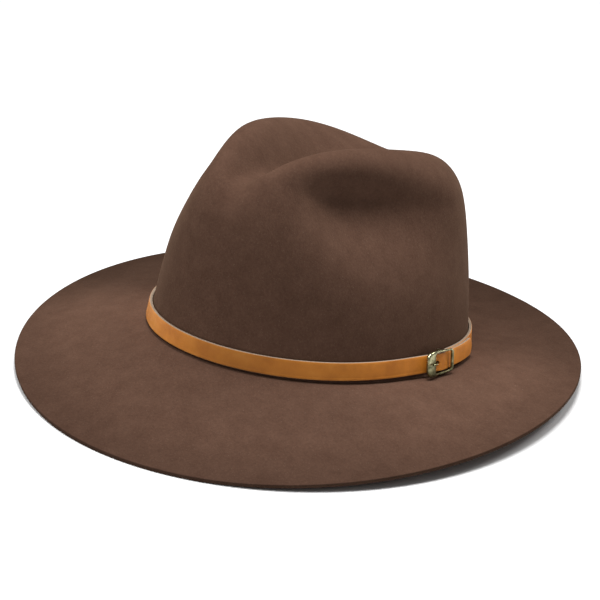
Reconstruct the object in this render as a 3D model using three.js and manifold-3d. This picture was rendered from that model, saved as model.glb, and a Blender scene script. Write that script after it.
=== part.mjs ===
// A dress hat in brown felt: one piece of felt pressed into a pinched crown and a snap brim,
// with a narrow tan leather strap round the crown and a small brass buckle at the wearer's left.
// Millimetres. +Z is up, the front looks along -Y, the wearer's left is +X, and the hat lies on
// a flat surface at z = 0 as it does by itself, on the back of its brim and its front edge.
import * as THREE from "three";
import { mergeVertices } from "three/addons/utils/BufferGeometryUtils.js";
import Module from "manifold-3d";

// Felt and head oval. The girth is measured round the outside of the crown at its foot.
const FELT_THICKNESS = 2.2;
const HEAD_GIRTH = 600;
const HEAD_LONG_TO_WIDE = 1.18;

// Open crown, before it is dented. Taper is how much the half-axis shrinks for each mm of height,
// and fullness is the exponent of the curve from the wall to the top: 2 is round, 4 is boxy.
const CROWN_HEIGHT = 132;
const CROWN_WALL = {
  front: { taper: 0.012, fullness: 3.7 },
  side: { taper: 0.158, fullness: 3.0 },
  back: { taper: 0.051, fullness: 3.7 },
};
// The open crown rises towards the front by this share of its height for each mm.
const TOP_SLOPE = 0.00025;

// Centre dent, along the top from front to back: a row for each place along Y.
const CENTRE_DENT = {
  front: { y: -80, depth: 18, halfWidth: 16.5 },
  middle: { y: 0, depth: 35.5, halfWidth: 31.5 },
  back: { y: 80, depth: 18, halfWidth: 35 },
};
// The centre dent fades out down the wall between these heights.
const CENTRE_DENT_FADE = { bottom: 59, top: 125 };

// Side dents, a mirror pair. Reach is how far the dent runs from its deepest point each way, and
// fall is how much its line sinks for each mm towards the back.
const SIDE_DENT = { y: -46, z: 95.5, fall: 0.15, depth: 19.5, sag: 6 };
const SIDE_DENT_REACH = { ahead: 30, behind: 60, above: 13.5, below: 28 };
// The sides swell out behind the deepest part of the side dents.
const REAR_SWELL = { y: 23, z: 92, out: 7, reach: 40, heightReach: 25 };
// Both only move what lies this far from the middle line, and nothing on the line itself.
const SIDE_FROM_MIDDLE = 60;

// Front of the crown: pinched narrower by a share of its width, and pushed forward.
const FRONT_PINCH = { y: -95, share: 0.075, reach: 56, forward: 13, forwardReach: 40 };
const FRONT_PINCH_FADE = { bottom: 20, top: 115 };

// Brim. Slopes are in degrees, up towards the edge, at the root and at the edge, and bow is
// what is added halfway.
const BRIM = {
  front: { width: 83.5, rootSlope: -27, edgeSlope: -24.5, bow: -2.5 },
  side: { width: 69.5, rootSlope: 1.5, edgeSlope: -5, bow: -7.5 },
  back: { width: 67, rootSlope: -6, edgeSlope: 8, bow: 5.5 },
};
// Radius of the turn from the crown into the brim.
const FOOT_FILLET = 0.8;

// Rest. The hat leans back until its front edge and the back of its brim both touch, and the
// felt is flattened where it would reach below the surface.
const REST_PITCH = THREE.MathUtils.degToRad(7.1);
const REST_SINK = 0.7;
const REST_SOFTNESS = 0.8;

// Leather strap, one band with its tail over its own start. Its lower edge lies close over the
// brim, and is lifted at the buckle, over this reach in radians round the hat.
const STRAP_HEIGHT = 10;
const STRAP_THICKNESS = 1.8;
const STRAP_LIFT = { atBuckle: 2.2, elsewhere: 0.9, reach: 0.6 };
const STRAP_GAP = 0.4;
const TAIL_LENGTH = 48;
const TAIL_END_LENGTH = 5;
const FOLD_THICKNESS = 0.7;
const FOLD_FLAP = 5;
// Along the strap from the bar: the rise before it, and past it the level part and the fall.
const RAMP_BEFORE_BAR = 27;
const LEVEL_BEFORE_BAR = 2;
const LEVEL_AFTER_BAR = 1.5;
const RAMP_AFTER_BAR = 12;

// Buckle: a frame with a broad outer side towards the front, over a bar carried on two lugs.
const BUCKLE_ANGLE = THREE.MathUtils.degToRad(85.4);
const FRAME = {
  length: 24.5,
  heightAtFront: 15.2,
  heightAtBack: 12.4,
  thickness: 1.6,
  frontThickness: 2.6,
  frontSide: 7.2,
  frontShoulder: 1.6,
  backSide: 1.7,
  frontCornerAlong: 6.5,
  frontCornerUp: 4.6,
  backCorner: 2.6,
  openingAtFront: 11.8,
  openingAtBack: 10.6,
  openingCorner: 1.8,
  lift: 5.1,
  tilt: 0.04,
};
const BAR = { x: 3, radius: 0.55, clearance: 0.32, sunkInLug: 0.2 };
const LUG = { length: 2, inner: 5.7, outer: 6.7, belowBar: 0.2, intoFrame: 0.4 };

// Prong: a wire hooked round the bar, then from bend to bend up to its tip on the frame.
// X is along the strap from the middle of the buckle, and z is out of the crown's wall.
const PRONG_RADIUS = 0.45;
const PRONG_CLEARANCE = { inStrap: 0.4, inFrame: 0.4 };
const PRONG_HOOK = { from: 170, to: 450, step: 40 };
const PRONG_BENDS = [
  { x: 0.6, z: 3.5 },
  { x: -1.8, z: 5.05 },
  { x: -4, z: 7.05 },
  { x: -5.6, z: 7.65 },
  { x: -8.2, z: 7.6 },
];

// How finely the surfaces are divided.
const AROUND = 86;
const BRIM_ROWS = 6;
const FOOT_ROWS = 2;
const CROWN_ROWS = 19;
const STRAP_STEP = 7;
const STRAP_ROWS = { fold: 6, start: 5, rise: 7, fall: 4, tail: 4, tailEnd: 4 };
const LAP_STEPS = 720;
const PRONG_STEPS = 24;
// The last place before the crown's middle, where all lines of the felt meet.
const NEAR_MIDDLE = 2.99;
// Whatever of the under side ends this close to the surface lies on it.
const TOUCHING = 0.08;

const wasm = await Module();
wasm.setup();

// A value between front, side and back of the hat, at an angle from the front.
function roundTheHat(angle, rows, column) {
  const c = Math.cos(angle);
  const front = rows.front[column];
  const side = rows.side[column];
  const back = rows.back[column];
  return side + ((front - back) / 2) * c + ((front + back) / 2 - side) * c * c;
}

// A value along Y, through the rows of the centre dent.
function alongTheTop(y, column) {
  const v = y / CENTRE_DENT.back.y;
  const front = CENTRE_DENT.front[column];
  const middle = CENTRE_DENT.middle[column];
  const back = CENTRE_DENT.back[column];
  return middle + ((back - front) / 2) * v + ((back + front) / 2 - middle) * v * v;
}

function bell(distance, reach) {
  return Math.exp(-((distance / reach) ** 2));
}

// Half-axes of the head oval from its girth and its proportion.
const girthFactor =
  3 * (1 + HEAD_LONG_TO_WIDE) - Math.sqrt((3 * HEAD_LONG_TO_WIDE + 1) * (HEAD_LONG_TO_WIDE + 3));
const HALF_WIDE = HEAD_GIRTH / (Math.PI * girthFactor);
const HALF_LONG = HALF_WIDE * HEAD_LONG_TO_WIDE;

function footPoint(angle) {
  return new THREE.Vector3(
    HALF_WIDE * Math.sin(angle),
    -HALF_LONG * Math.cos(angle),
    0,
  );
}

// Outside of the crown: across runs from 1 at the wall to 0 on the middle line, up from 0 to 1.
function crownPoint(angle, across, up) {
  const rise = CROWN_HEIGHT * up;
  const towardsFront = 0.5 + 0.5 * Math.cos(angle);
  const longTaper =
    CROWN_WALL.front.taper * towardsFront + CROWN_WALL.back.taper * (1 - towardsFront);
  let x = (HALF_WIDE - CROWN_WALL.side.taper * rise) * across * Math.sin(angle);
  let y = -(HALF_LONG - longTaper * rise) * across * Math.cos(angle);
  let z = rise * (1 - TOP_SLOPE * y);

  const { smoothstep } = THREE.MathUtils;
  const onTop = smoothstep(z, CENTRE_DENT_FADE.bottom, CENTRE_DENT_FADE.top);
  z -= alongTheTop(y, "depth") * bell(x, alongTheTop(y, "halfWidth")) * onTop;

  const dy = y - SIDE_DENT.y;
  const dz = z - SIDE_DENT.z + SIDE_DENT.fall * dy;
  const dent =
    bell(dy, dy < 0 ? SIDE_DENT_REACH.ahead : SIDE_DENT_REACH.behind) *
    bell(dz, dz > 0 ? SIDE_DENT_REACH.above : SIDE_DENT_REACH.below);
  const side = Math.sign(x) * smoothstep(Math.abs(x), 0, SIDE_FROM_MIDDLE);
  x -= side * SIDE_DENT.depth * dent;
  z -= SIDE_DENT.sag * dent;
  const swell =
    bell(y - REAR_SWELL.y, REAR_SWELL.reach) *
    bell(z - REAR_SWELL.z, REAR_SWELL.heightReach);
  x += side * REAR_SWELL.out * swell;

  const high = smoothstep(z, FRONT_PINCH_FADE.bottom, FRONT_PINCH_FADE.top);
  const fromFront = y - FRONT_PINCH.y;
  x *= 1 - FRONT_PINCH.share * high * bell(fromFront, FRONT_PINCH.reach);
  y -= FRONT_PINCH.forward * high * bell(fromFront, FRONT_PINCH.forwardReach);
  return new THREE.Vector3(x, y, z);
}

// The same, by the height on the wall alone.
function wallPoint(angle, height) {
  const up = height / CROWN_HEIGHT;
  const fullness = roundTheHat(angle, CROWN_WALL, "fullness");
  return crownPoint(angle, (1 - up ** fullness) ** (1 / fullness), up);
}

// Top of the brim, by the share of its width from the root outwards. The slope is summed up.
function brimPoint(angle, share) {
  const steps = 12;
  const width = roundTheHat(angle, BRIM, "width");
  const root = roundTheHat(angle, BRIM, "rootSlope");
  const edge = roundTheHat(angle, BRIM, "edgeSlope");
  const bow = roundTheHat(angle, BRIM, "bow");
  let out = 0;
  let rise = 0;
  for (let i = 0; i < steps; i += 1) {
    const u = (share * (i + 0.5)) / steps;
    const slope = THREE.MathUtils.degToRad(root + (edge - root) * u + bow * 4 * u * (1 - u));
    out += (Math.cos(slope) * share * width) / steps;
    rise += (Math.sin(slope) * share * width) / steps;
  }
  const outward = new THREE.Vector3(
    HALF_LONG * Math.sin(angle),
    -HALF_WIDE * Math.cos(angle),
    0,
  ).normalize();
  return footPoint(angle).addScaledVector(outward, out).add(new THREE.Vector3(0, 0, rise));
}

// Upper side of the whole felt along one line from the brim's edge to the middle of the crown:
// 0 to 1 is the brim, 1 to 2 the turn at the foot, 2 to 3 the crown.
function feltPoint(angle, place) {
  const rootShare = FOOT_FILLET / roundTheHat(angle, BRIM, "width");
  if (place <= 1) return brimPoint(angle, 1 + (rootShare - 1) * place);
  if (place < 2) {
    const t = place - 1;
    const fromBrim = brimPoint(angle, rootShare);
    const toWall = wallPoint(angle, FOOT_FILLET);
    return fromBrim
      .multiplyScalar((1 - t) ** 2)
      .addScaledVector(footPoint(angle), 2 * t * (1 - t))
      .addScaledVector(toWall, t ** 2);
  }
  const fullness = roundTheHat(angle, CROWN_WALL, "fullness");
  const start = Math.atan(FOOT_FILLET / CROWN_HEIGHT);
  const turn = start + (Math.PI / 2 - start) * (place - 2);
  const c = Math.max(Math.cos(turn), 0);
  const s = Math.sin(turn);
  const size = (c ** fullness + s ** fullness) ** (-1 / fullness);
  return crownPoint(angle, c * size, s * size);
}

// From the crown's own frame to the surface that the hat lies on.
function pitched(point) {
  return point.clone().applyAxisAngle(new THREE.Vector3(1, 0, 0), -REST_PITCH);
}

// The brim's extent once the hat leans back gives the middle of the hat and its lowest point.
const outline = new THREE.Box3();
for (const share of [0.6, 0.7, 0.8, 0.9, 1]) {
  for (let degrees = 0; degrees < 360; degrees += 2) {
    outline.expandByPoint(pitched(brimPoint(THREE.MathUtils.degToRad(degrees), share)));
  }
}
const MIDDLE_Y = (outline.min.y + outline.max.y) / 2;
const LOWEST = outline.min.z - FELT_THICKNESS + REST_SINK;

function onTheTable(point) {
  const moved = pitched(point);
  moved.y -= MIDDLE_Y;
  moved.z -= LOWEST;
  return moved;
}

// The felt gives way where it would sink below the surface.
function flattened(point) {
  const over = point.z - FELT_THICKNESS;
  if (over < REST_SOFTNESS) {
    const eased = over <= -REST_SOFTNESS ? 0 : (over + REST_SOFTNESS) ** 2 / (4 * REST_SOFTNESS);
    point.z = FELT_THICKNESS + eased;
  }
  return point;
}

function feltUpperSide(angle, place) {
  return flattened(onTheTable(feltPoint(angle, place)));
}

// Direction straight out of the felt, from its neighbours on the surface.
function feltNormal(angle, place) {
  const step = 0.004;
  const before = Math.max(place - step, 0);
  const after = Math.min(place + step, 3 - step);
  const up = feltUpperSide(angle, after).sub(feltUpperSide(angle, Math.min(before, after - step)));
  const along = feltUpperSide(angle + step, Math.min(place, 3 - step));
  along.sub(feltUpperSide(angle - step, Math.min(place, 3 - step)));
  return along.cross(up).normalize();
}

function geometryOf(positions, triangles) {
  const geometry = new THREE.BufferGeometry();
  geometry.setAttribute("position", new THREE.Float32BufferAttribute(positions, 3));
  geometry.setIndex(triangles);
  return geometry;
}

// Felt: the upper side and the under side are two nets that meet at the brim's cut edge.
function makeFelt() {
  const places = [];
  for (let i = 0; i < BRIM_ROWS; i += 1) places.push(i / BRIM_ROWS);
  for (let i = 0; i < FOOT_ROWS; i += 1) places.push(1 + i / FOOT_ROWS);
  for (let i = 0; i < CROWN_ROWS; i += 1) places.push(2 + i / CROWN_ROWS);

  const positions = [];
  const triangles = [];
  for (const depth of [0, FELT_THICKNESS]) {
    for (const place of places) {
      for (let i = 0; i < AROUND; i += 1) {
        const angle = (2 * Math.PI * i) / AROUND;
        const point = feltUpperSide(angle, place);
        point.addScaledVector(feltNormal(angle, place), -depth);
        if (point.z < TOUCHING) point.z = 0;
        positions.push(point.x, point.y, point.z);
      }
    }
    const middle = feltUpperSide(0, 3);
    const across = feltUpperSide(Math.PI / 2, NEAR_MIDDLE);
    across.sub(feltUpperSide(-Math.PI / 2, NEAR_MIDDLE));
    const along = feltUpperSide(Math.PI, NEAR_MIDDLE).sub(feltUpperSide(0, NEAR_MIDDLE));
    middle.addScaledVector(across.cross(along).normalize(), -depth);
    positions.push(middle.x, middle.y, middle.z);
  }

  const rows = places.length;
  const perSide = rows * AROUND + 1;
  for (let row = 0; row < rows; row += 1) {
    for (let i = 0; i < AROUND; i += 1) {
      const next = (i + 1) % AROUND;
      const a = row * AROUND + i;
      const b = row * AROUND + next;
      if (row === rows - 1) {
        triangles.push(a, b, perSide - 1);
        triangles.push(b + perSide, a + perSide, 2 * perSide - 1);
      } else {
        triangles.push(a, b, b + AROUND, a, b + AROUND, a + AROUND);
        triangles.push(b + perSide, a + perSide, b + AROUND + perSide);
        triangles.push(b + AROUND + perSide, a + perSide, a + AROUND + perSide);
      }
      if (row === 0) triangles.push(b, a, a + perSide, b, a + perSide, b + perSide);
    }
  }
  return geometryOf(positions, triangles);
}

// Middle line of the strap on the crown's wall.
function strapMiddle(angle) {
  const fromBuckle = Math.acos(Math.cos(angle - BUCKLE_ANGLE));
  const share = bell(fromBuckle, STRAP_LIFT.reach);
  const lift = THREE.MathUtils.lerp(STRAP_LIFT.elsewhere, STRAP_LIFT.atBuckle, share);
  return lift + STRAP_HEIGHT / 2;
}

function strapPoint(angle) {
  return wallPoint(angle, strapMiddle(angle));
}

// Directions on the wall at the middle of the strap: along it to the back, up and out.
function wallFrame(angle) {
  const step = 0.01;
  const middle = strapMiddle(angle);
  const origin = strapPoint(angle);
  const up = wallPoint(angle, middle + 1).sub(wallPoint(angle, middle - 1)).normalize();
  const chord = strapPoint(angle + step).sub(strapPoint(angle - step));
  const out = chord.cross(up).normalize();
  return { along: up.clone().cross(out), up, out, origin };
}

// Length round the wall, from the buckle on towards the back, for every small turn of angle.
const lapLengths = [0];
for (let i = 1; i <= LAP_STEPS; i += 1) {
  const turn = (2 * Math.PI) / LAP_STEPS;
  const from = strapPoint(BUCKLE_ANGLE + (i - 1) * turn);
  const to = strapPoint(BUCKLE_ANGLE + i * turn);
  lapLengths.push(lapLengths[i - 1] + from.distanceTo(to));
}
const LAP = lapLengths[LAP_STEPS];

function angleAtLength(length) {
  const laps = Math.floor(length / LAP);
  const rest = length - laps * LAP;
  let i = 1;
  while (lapLengths[i] < rest && i < LAP_STEPS) i += 1;
  const part = (rest - lapLengths[i - 1]) / (lapLengths[i] - lapLengths[i - 1]);
  return BUCKLE_ANGLE + 2 * Math.PI * (laps + (i - 1 + part) / LAP_STEPS);
}

// The strap seen from above, as its middle line: length round the wall, distance out, thickness
// and height. It folds round the bar, goes once round the hat and ends as a tail over its start.
function strapLine() {
  const line = [];
  const add = (length, out, thickness, height = STRAP_HEIGHT) =>
    line.push({ length, out, thickness, height });
  const foldRadius = BAR.radius + BAR.clearance + FOLD_THICKNESS / 2;
  const flapOut = STRAP_GAP + FOLD_THICKNESS / 2;
  const barOut = flapOut + foldRadius;
  const singleOut = STRAP_GAP + STRAP_THICKNESS / 2;
  const overFold = barOut + foldRadius + FOLD_THICKNESS / 2 + STRAP_GAP + STRAP_THICKNESS / 2;
  const overStart = singleOut + STRAP_THICKNESS + STRAP_GAP;
  const { lerp, smoothstep } = THREE.MathUtils;

  add(BAR.x + FOLD_FLAP, flapOut, FOLD_THICKNESS);
  for (let i = 0; i <= STRAP_ROWS.fold; i += 1) {
    const turn = Math.PI * (0.5 + i / STRAP_ROWS.fold);
    const along = BAR.x + foldRadius * Math.cos(turn);
    add(along, barOut - foldRadius * Math.sin(turn), FOLD_THICKNESS);
  }
  for (let i = 1; i <= STRAP_ROWS.start; i += 1) {
    const share = i / STRAP_ROWS.start;
    const out = lerp(barOut + foldRadius, singleOut, smoothstep(share, 0, 1));
    add(BAR.x + RAMP_AFTER_BAR * share, out, lerp(FOLD_THICKNESS, STRAP_THICKNESS, share));
  }
  const start = BAR.x + RAMP_AFTER_BAR;
  const end = LAP + BAR.x - RAMP_BEFORE_BAR;
  const steps = Math.round((end - start) / STRAP_STEP);
  for (let i = 1; i <= steps; i += 1) {
    add(lerp(start, end, i / steps), singleOut, STRAP_THICKNESS);
  }
  const rise = RAMP_BEFORE_BAR - LEVEL_BEFORE_BAR;
  for (let i = 1; i <= STRAP_ROWS.rise; i += 1) {
    const share = i / STRAP_ROWS.rise;
    add(end + rise * share, lerp(singleOut, overFold, share ** 2), STRAP_THICKNESS);
  }
  const overBar = LAP + BAR.x + LEVEL_AFTER_BAR;
  for (let i = 0; i <= STRAP_ROWS.fall; i += 1) {
    const share = i / STRAP_ROWS.fall;
    const out = lerp(overFold, overStart, smoothstep(share, 0, 1));
    add(overBar + RAMP_AFTER_BAR * share, out, STRAP_THICKNESS);
  }
  const tailStart = overBar + RAMP_AFTER_BAR;
  const tailEnd = LAP + TAIL_LENGTH - TAIL_END_LENGTH;
  for (let i = 1; i <= STRAP_ROWS.tail; i += 1) {
    add(lerp(tailStart, tailEnd, i / STRAP_ROWS.tail), overStart, STRAP_THICKNESS);
  }
  for (let i = 1; i <= STRAP_ROWS.tailEnd; i += 1) {
    const turn = ((Math.PI / 2) * i) / (STRAP_ROWS.tailEnd + 0.5);
    const length = tailEnd + TAIL_END_LENGTH * Math.sin(turn);
    add(length, overStart, STRAP_THICKNESS, STRAP_HEIGHT * Math.cos(turn));
  }
  return line;
}

function manifoldOf(geometry) {
  const bare = geometry.clone();
  bare.deleteAttribute("normal");
  bare.deleteAttribute("uv");
  const merged = mergeVertices(bare, 1e-4);
  const mesh = new wasm.Mesh({
    numProp: 3,
    vertProperties: Float32Array.from(merged.attributes.position.array),
    triVerts: Uint32Array.from(merged.index.array),
  });
  return new wasm.Manifold(mesh);
}

function geometryFrom(solid) {
  const mesh = solid.getMesh();
  return geometryOf(Array.from(mesh.vertProperties), Array.from(mesh.triVerts));
}

// Where the buckle sits: x along the strap towards the back, y up, z out of the wall.
const buckleFrame = wallFrame(BUCKLE_ANGLE);
const buckleMatrix = new THREE.Matrix4()
  .makeBasis(buckleFrame.along, buckleFrame.up, buckleFrame.out)
  .setPosition(buckleFrame.origin);
const tableMatrix = new THREE.Matrix4()
  .makeTranslation(0, -MIDDLE_Y, -LOWEST)
  .multiply(new THREE.Matrix4().makeRotationX(-REST_PITCH));
const buckleOnTable = tableMatrix.clone().multiply(buckleMatrix);
const BAR_OUT = STRAP_GAP + FOLD_THICKNESS + BAR.clearance + BAR.radius;

function prongPath() {
  const hookRadius = BAR.radius + BAR.clearance + PRONG_RADIUS;
  const points = [];
  for (let degrees = PRONG_HOOK.from; degrees <= PRONG_HOOK.to; degrees += PRONG_HOOK.step) {
    const turn = THREE.MathUtils.degToRad(degrees);
    const x = BAR.x + hookRadius * Math.cos(turn);
    points.push(new THREE.Vector3(x, 0, BAR_OUT + hookRadius * Math.sin(turn)));
  }
  for (const bend of PRONG_BENDS) points.push(new THREE.Vector3(bend.x, 0, bend.z));
  return new THREE.CatmullRomCurve3(points);
}

function prongWire(radius) {
  const round = new THREE.Shape().absarc(0, 0, radius, 0, 2 * Math.PI);
  return new THREE.ExtrudeGeometry(round, {
    steps: PRONG_STEPS,
    curveSegments: 4,
    extrudePath: prongPath(),
  });
}

// The space the prong needs in another piece: a wider wire, round at both ends.
function prongRoom(clearance) {
  const radius = PRONG_RADIUS + clearance;
  const path = prongPath();
  let room = manifoldOf(prongWire(radius));
  for (const end of [path.getPoint(0), path.getPoint(1)]) {
    const ball = new THREE.SphereGeometry(radius, 12, 8);
    room = room.add(manifoldOf(ball.translate(...end.toArray())));
  }
  return room;
}

// Strap: four corners at each point of its middle line, and a slot where the prong goes through.
function makeStrap() {
  const line = strapLine();
  const positions = [];
  const triangles = [];
  line.forEach((point, i) => {
    const before = line[Math.max(i - 1, 0)];
    const after = line[Math.min(i + 1, line.length - 1)];
    const run = after.length - before.length;
    const rise = after.out - before.out;
    const size = Math.hypot(run, rise);
    for (const [side, top] of [[-1, -1], [1, -1], [1, 1], [-1, 1]]) {
      const half = (side * point.thickness) / 2;
      const angle = angleAtLength(point.length - (half * rise) / size);
      const { out, up, origin } = wallFrame(angle);
      const corner = origin.clone().addScaledVector(out, point.out + (half * run) / size);
      corner.addScaledVector(up, (top * point.height) / 2);
      const placed = onTheTable(corner);
      positions.push(placed.x, placed.y, placed.z);
    }
    if (i === 0) return;
    const here = 4 * i;
    for (let k = 0; k < 4; k += 1) {
      const next = (k + 1) % 4;
      triangles.push(here - 4 + next, here - 4 + k, here + next);
      triangles.push(here + next, here - 4 + k, here + k);
    }
  });
  const last = 4 * (line.length - 1);
  triangles.push(0, 1, 2, 0, 2, 3, last, last + 2, last + 1, last, last + 3, last + 2);
  const band = manifoldOf(geometryOf(positions, triangles));
  const slot = prongRoom(PRONG_CLEARANCE.inStrap).transform(buckleOnTable.toArray());
  return geometryFrom(band.subtract(slot));
}

// The frame's outer line seen from outside, as a whole or the broad front side alone.
function frameOutline(whole) {
  const half = FRAME.length / 2;
  const frontHeight = FRAME.heightAtFront / 2;
  const backHeight = FRAME.heightAtBack / 2;
  const cornerX = -half + FRAME.frontCornerAlong;
  const cornerY = frontHeight - FRAME.frontCornerUp;
  const shape = new THREE.Shape();
  shape.moveTo(cornerX, -frontHeight);
  if (whole) {
    shape.lineTo(half - FRAME.backCorner, -backHeight);
    shape.quadraticCurveTo(half, -backHeight, half, -backHeight + FRAME.backCorner);
    shape.lineTo(half, backHeight - FRAME.backCorner);
    shape.quadraticCurveTo(half, backHeight, half - FRAME.backCorner, backHeight);
  } else {
    shape.lineTo(-half + FRAME.frontSide, -frontHeight + FRAME.frontShoulder);
    shape.lineTo(-half + FRAME.frontSide, frontHeight - FRAME.frontShoulder);
  }
  shape.lineTo(cornerX, frontHeight);
  shape.quadraticCurveTo(-half, frontHeight, -half, cornerY);
  shape.lineTo(-half, -cornerY);
  shape.quadraticCurveTo(-half, -frontHeight, cornerX, -frontHeight);
  return shape;
}

function frameOpening() {
  const left = -FRAME.length / 2 + FRAME.frontSide;
  const right = FRAME.length / 2 - FRAME.backSide;
  const front = FRAME.openingAtFront / 2;
  const back = FRAME.openingAtBack / 2;
  const corner = FRAME.openingCorner;
  const hole = new THREE.Path();
  hole.moveTo(left + corner, -front);
  hole.lineTo(right - corner, -back);
  hole.quadraticCurveTo(right, -back, right, -back + corner);
  hole.lineTo(right, back - corner);
  hole.quadraticCurveTo(right, back, right - corner, back);
  hole.lineTo(left + corner, front);
  hole.quadraticCurveTo(left, front, left, front - corner);
  hole.lineTo(left, -front + corner);
  hole.quadraticCurveTo(left, -front, left + corner, -front);
  return hole;
}

function frameLayer(shape, thickness) {
  const layer = new THREE.ExtrudeGeometry(shape, {
    depth: thickness,
    bevelEnabled: false,
    curveSegments: 5,
  });
  layer.applyMatrix4(new THREE.Matrix4().makeRotationY(-FRAME.tilt));
  return manifoldOf(layer.translate(0, 0, FRAME.lift));
}

// Buckle frame: the thin ring, its thicker front side with a notch for the prong's tip, the bar
// and the lugs that carry the bar.
function makeBuckleFrame() {
  const ring = frameOutline(true);
  ring.holes.push(frameOpening());
  const notch = prongRoom(PRONG_CLEARANCE.inFrame);
  let solid = frameLayer(ring, FRAME.thickness);
  solid = solid.add(frameLayer(frameOutline(false), FRAME.frontThickness)).subtract(notch);

  const barLength = 2 * (LUG.outer - BAR.sunkInLug);
  const bar = new THREE.CylinderGeometry(BAR.radius, BAR.radius, barLength, 10);
  solid = solid.add(manifoldOf(bar.translate(BAR.x, 0, BAR_OUT)));
  const lugBottom = BAR_OUT - BAR.radius - LUG.belowBar;
  const lugTop = FRAME.lift + LUG.intoFrame;
  for (const side of [-1, 1]) {
    const lug = new THREE.BoxGeometry(LUG.length, LUG.outer - LUG.inner, lugTop - lugBottom);
    lug.translate(BAR.x, (side * (LUG.outer + LUG.inner)) / 2, (lugTop + lugBottom) / 2);
    solid = solid.add(manifoldOf(lug));
  }
  return geometryFrom(solid).applyMatrix4(buckleOnTable);
}

const felt = new THREE.MeshStandardMaterial({ color: 0x6a4b3c, roughness: 0.95, metalness: 0 });
const leather = new THREE.MeshStandardMaterial({ color: 0xb07038, roughness: 0.6, metalness: 0 });
const brass = new THREE.MeshStandardMaterial({ color: 0x8f8a60, roughness: 0.4, metalness: 1 });
const prongBrass = brass.clone();

const hat = new THREE.Group();
function addPiece(name, geometry, material) {
  const mesh = new THREE.Mesh(geometry, material);
  mesh.name = name;
  hat.add(mesh);
}
addPiece("felt_crown_and_brim", makeFelt(), felt);
addPiece("leather_strap", makeStrap(), leather);
addPiece("buckle_frame", makeBuckleFrame(), brass);
addPiece("buckle_prong", prongWire(PRONG_RADIUS).applyMatrix4(buckleOnTable), prongBrass);

export default hat;
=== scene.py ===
"""A dress hat in brown felt, with a tan leather strap and a small brass buckle, on a pale table.

Metres. +Z is up, the front of the hat looks along -Y, the wearer's left is +X, and the hat lies
on the table top at z = 0, on the back of its brim and its front edge.
"""
import math

import bpy
import numpy as np
from mathutils import Matrix, Vector


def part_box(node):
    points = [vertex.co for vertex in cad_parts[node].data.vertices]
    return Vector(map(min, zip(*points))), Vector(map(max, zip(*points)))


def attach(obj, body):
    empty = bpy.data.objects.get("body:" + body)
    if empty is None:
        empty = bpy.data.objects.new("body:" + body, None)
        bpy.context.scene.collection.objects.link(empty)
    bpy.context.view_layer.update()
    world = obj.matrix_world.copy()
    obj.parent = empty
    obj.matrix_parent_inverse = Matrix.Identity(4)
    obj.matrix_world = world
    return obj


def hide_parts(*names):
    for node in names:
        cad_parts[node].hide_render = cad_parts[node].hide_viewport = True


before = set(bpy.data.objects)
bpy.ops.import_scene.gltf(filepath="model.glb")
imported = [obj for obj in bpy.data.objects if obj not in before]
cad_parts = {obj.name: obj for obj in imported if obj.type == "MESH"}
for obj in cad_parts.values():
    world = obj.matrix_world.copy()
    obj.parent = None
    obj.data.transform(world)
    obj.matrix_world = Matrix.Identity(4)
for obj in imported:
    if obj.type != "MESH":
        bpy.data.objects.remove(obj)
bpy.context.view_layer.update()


# Studio. A pale matt table top and three soft round lamps, one overhead, one ahead on the wearer's
# right and one behind on the left, as for a catalogue picture. The camera stands off the front on
# the wearer's left, a little tilted to one side, and faces the middle of the crown's foot.
FOOT_MIDDLE = Vector((0.0, 0.0057, 0.0177))
VIEW_FROM_FRONT = math.radians(32.98)
VIEW_HEIGHT = math.radians(23.0)
VIEW_TILT = math.radians(4.46)
VIEW_DISTANCE = 1.3
LENS = 134.9
CAMERA_SHIFT = {"right": -0.0175, "up": 0.0463}
TABLE_SIZE = 6.0
TABLE_COLOUR = (0.86, 0.86, 0.86, 1.0)
ROOM_COLOUR = (1.0, 1.0, 1.0, 1.0)
ROOM_LIGHT = 0.2
LAMP_SIZE = 0.7
LAMP_DISTANCE = 1.7
LAMPS = {
    "overhead_lamp": {"from_front": 0, "height": 90, "power": 28.5},
    "front_lamp": {"from_front": -27, "height": 55, "power": 12.5},
    "rear_lamp": {"from_front": 153, "height": 40, "power": 9.5},
}


def new_material(name, colour, roughness):
    """A material with its shader set to one plain colour, for nodes to build on."""
    material = bpy.data.materials.new(name)
    material.use_nodes = True
    shader = material.node_tree.nodes["Principled BSDF"]
    shader.inputs["Base Color"].default_value = colour
    shader.inputs["Roughness"].default_value = roughness
    return material, material.node_tree, shader


def new_object(name, points, faces, material):
    """A smooth-shaded mesh object from an array of points and a list of faces."""
    mesh = bpy.data.meshes.new(name)
    mesh.from_pydata([tuple(p) for p in points], [], [tuple(f) for f in faces])
    mesh.validate()
    mesh.shade_smooth()
    mesh.materials.append(material)
    piece = bpy.data.objects.new(name, mesh)
    bpy.context.scene.collection.objects.link(piece)
    return piece


def direction(from_front, height):
    """One unit towards a place round the hat, by its angle from the front and its height."""
    flat = math.cos(height)
    return Vector((math.sin(from_front) * flat, -math.cos(from_front) * flat, math.sin(height)))


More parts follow.
